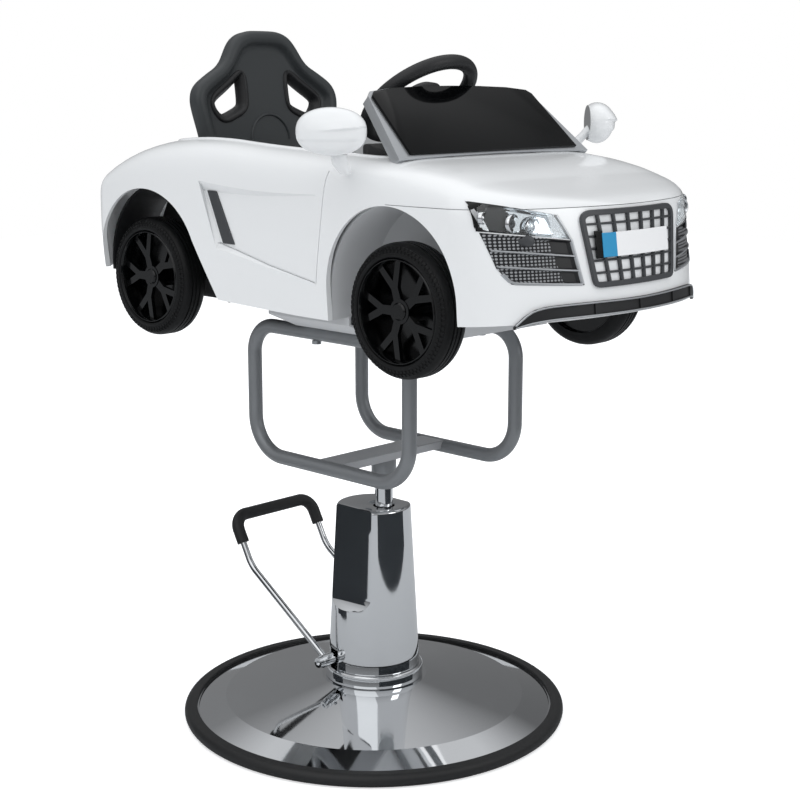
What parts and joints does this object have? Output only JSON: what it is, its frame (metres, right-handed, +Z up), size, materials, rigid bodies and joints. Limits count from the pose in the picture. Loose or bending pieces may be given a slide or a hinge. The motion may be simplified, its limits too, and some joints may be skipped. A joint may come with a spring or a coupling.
{
  "type": "children's barber chair",
  "caption": "Children's salon chair: moulded toy car seat with wheels, windshield and mirrors on a tube frame, hydraulic pump with foot pedal and round base.",
  "frame": {"origin": "centre of the round base on the floor", "axes": "+Z up, the car's front faces -Y, the car's right side is -X"},
  "size_m": [0.6396, 0.9333, 1.0737],
  "materials": {
    "chrome": "polished chrome plating",
    "base_rubber": "smooth black rubber",
    "plate_steel": "dark primed steel",
    "pump_iron": "painted grey casting",
    "zinc": "zinc plated steel",
    "gland_brass": "turned brass",
    "frame_grey": "grey powder coat, satin",
    "body_white": "glossy white moulding",
    "chassis_grey": "grained grey moulding",
    "black_plastic": "fine grained black moulding",
    "seat_black": "fine grained black moulding",
    "screen_black": "glossy black panel",
    "silver_plastic": "silver painted moulding",
    "blade_grey": "dark grey painted trim",
    "lens_clear": "clear polished lens",
    "lens_red": "red moulded lens",
    "tyre_black": "moulded black tyre",
    "rim_black": "glossy black moulding",
    "plate_white": "plain white plate"
  },
  "bodies": {
    "base": {"base_disc": "chrome", "base_ring": "base_rubber", "base_plate": "plate_steel", "base_bolts": "zinc", "shroud_ring": "chrome", "pump_shroud": "chrome", "pump_body": "pump_iron", "rod_gland": "gland_brass", "pedal_spring": "zinc"},
    "lift": {"piston": "zinc"},
    "chair": {"piston_rod": "chrome", "frame_socket": "frame_grey", "cross_plate": "frame_grey", "loop_right": "frame_grey", "loop_left": "frame_grey", "frame_bolts": "zinc", "body_shell": "body_white", "front_bumper": "body_white", "front_chassis": "chassis_grey", "rear_chassis": "black_plastic", "seat": "seat_black", "seat_bolts": "zinc", "dashboard": "black_plastic", "windshield": "screen_black", "windshield_frame": "silver_plastic", "side_blade_right": "blade_grey", "side_blade_left": "blade_grey", "centre_grille": "black_plastic", "number_plate": "plate_white", "front_lip": "black_plastic", "side_grille_right": "black_plastic", "side_grille_left": "black_plastic", "headlight_right": "silver_plastic", "headlight_left": "silver_plastic", "headlight_lens_right": "lens_clear", "headlight_lens_left": "lens_clear", "tail_lamps": "lens_red", "front_axle_beam": "frame_grey", "rear_axle": "zinc"},
    "pedal": {"pedal_shaft": "chrome", "pedal_screws": "zinc", "pedal_lever": "chrome", "pedal_grip": "base_rubber"},
    "plunger": {"pump_plunger": "zinc"},
    "steering": {"steering_column": "zinc", "steering_wheel": "black_plastic"},
    "horn": {"horn_button": "blade_grey"},
    "right_knuckle": {"knuckle_right": "zinc"},
    "left_knuckle": {"knuckle_left": "zinc"},
    "tie": {"tie_rod": "zinc"},
    "front_wheel_right": {"front_rim_right": "rim_black", "front_tyre_right": "tyre_black"},
    "front_wheel_left": {"front_rim_left": "rim_black", "front_tyre_left": "tyre_black"},
    "rear_wheel_right": {"rear_rim_right": "rim_black", "rear_tyre_right": "tyre_black"},
    "rear_wheel_left": {"rear_rim_left": "rim_black", "rear_tyre_left": "tyre_black"},
    "right_mirror": {"mirror_right": "body_white"},
    "left_mirror": {"mirror_left": "body_white"}
  },
  "joints": [
    {"name": "seat_lift", "type": "slide", "parent": "base", "child": "lift", "axis": [0, 0, 1], "range_m": [0, 0.13]},
    {"name": "seat_swivel", "type": "hinge", "parent": "lift", "child": "chair", "pos_m": [0, -0.023, 0.4], "axis": [0, 0, 1], "continuous": true},
    {"name": "pedal_press", "type": "hinge", "parent": "base", "child": "pedal", "pos_m": [0, 0.022, 0.097], "axis": [1, 0, 0], "range_deg": [-25, 0], "stiffness_Nm_per_rad": 12, "springref_deg": 20.05},
    {"name": "pump_stroke", "type": "slide", "parent": "base", "child": "plunger", "axis": [0, 0, 1], "range_m": [-0.0068, 0]},
    {"name": "steering_turn", "type": "hinge", "parent": "chair", "child": "steering", "pos_m": [0, -0.097, 0.97], "axis": [0, 0.6293, 0.7771], "range_deg": [-40, 40]},
    {"name": "horn_press", "type": "slide", "parent": "steering", "child": "horn", "axis": [0, 0.6293, 0.7771], "range_m": [-0.003, 0], "stiffness_N_per_m": 500, "springref_m": 0.004},
    {"name": "right_knuckle_turn", "type": "hinge", "parent": "chair", "child": "right_knuckle", "pos_m": [-0.15, -0.263, 0.7], "axis": [0, 0, 1], "range_deg": [-16.3, 16.3]},
    {"name": "left_knuckle_turn", "type": "hinge", "parent": "chair", "child": "left_knuckle", "pos_m": [0.15, -0.263, 0.7], "axis": [0, 0, 1], "range_deg": [-16.3, 16.3]},
    {"name": "tie_slide", "type": "slide", "parent": "chair", "child": "tie", "axis": [1, 0, 0], "range_m": [-0.0194, 0.0194]},
    {"name": "front_wheel_right_spin", "type": "hinge", "parent": "right_knuckle", "child": "front_wheel_right", "pos_m": [-0.196, -0.263, 0.697], "axis": [1, 0, 0], "continuous": true},
    {"name": "front_wheel_left_spin", "type": "hinge", "parent": "left_knuckle", "child": "front_wheel_left", "pos_m": [0.196, -0.263, 0.697], "axis": [1, 0, 0], "continuous": true},
    {"name": "rear_wheel_right_spin", "type": "hinge", "parent": "chair", "child": "rear_wheel_right", "pos_m": [-0.196, 0.277, 0.697], "axis": [1, 0, 0], "continuous": true},
    {"name": "rear_wheel_left_spin", "type": "hinge", "parent": "chair", "child": "rear_wheel_left", "pos_m": [0.196, 0.277, 0.697], "axis": [1, 0, 0], "continuous": true},
    {"name": "right_mirror_fold", "type": "hinge", "parent": "chair", "child": "right_mirror", "pos_m": [-0.25, -0.19, 0.905], "axis": [0, 0, 1], "range_deg": [-70, 15]},
    {"name": "left_mirror_fold", "type": "hinge", "parent": "chair", "child": "left_mirror", "pos_m": [0.25, -0.19, 0.905], "axis": [0, 0, 1], "range_deg": [-15, 70]}
  ],
  "couplings": [
    {"joint": "pump_stroke", "follows": "pedal_press", "m_per_rad": 0.0155},
    {"joint": "right_knuckle_turn", "follows": "steering_turn", "ratio": 0.405},
    {"joint": "left_knuckle_turn", "follows": "steering_turn", "ratio": 0.405},
    {"joint": "tie_slide", "follows": "steering_turn", "m_per_rad": 0.0276}
  ]
}
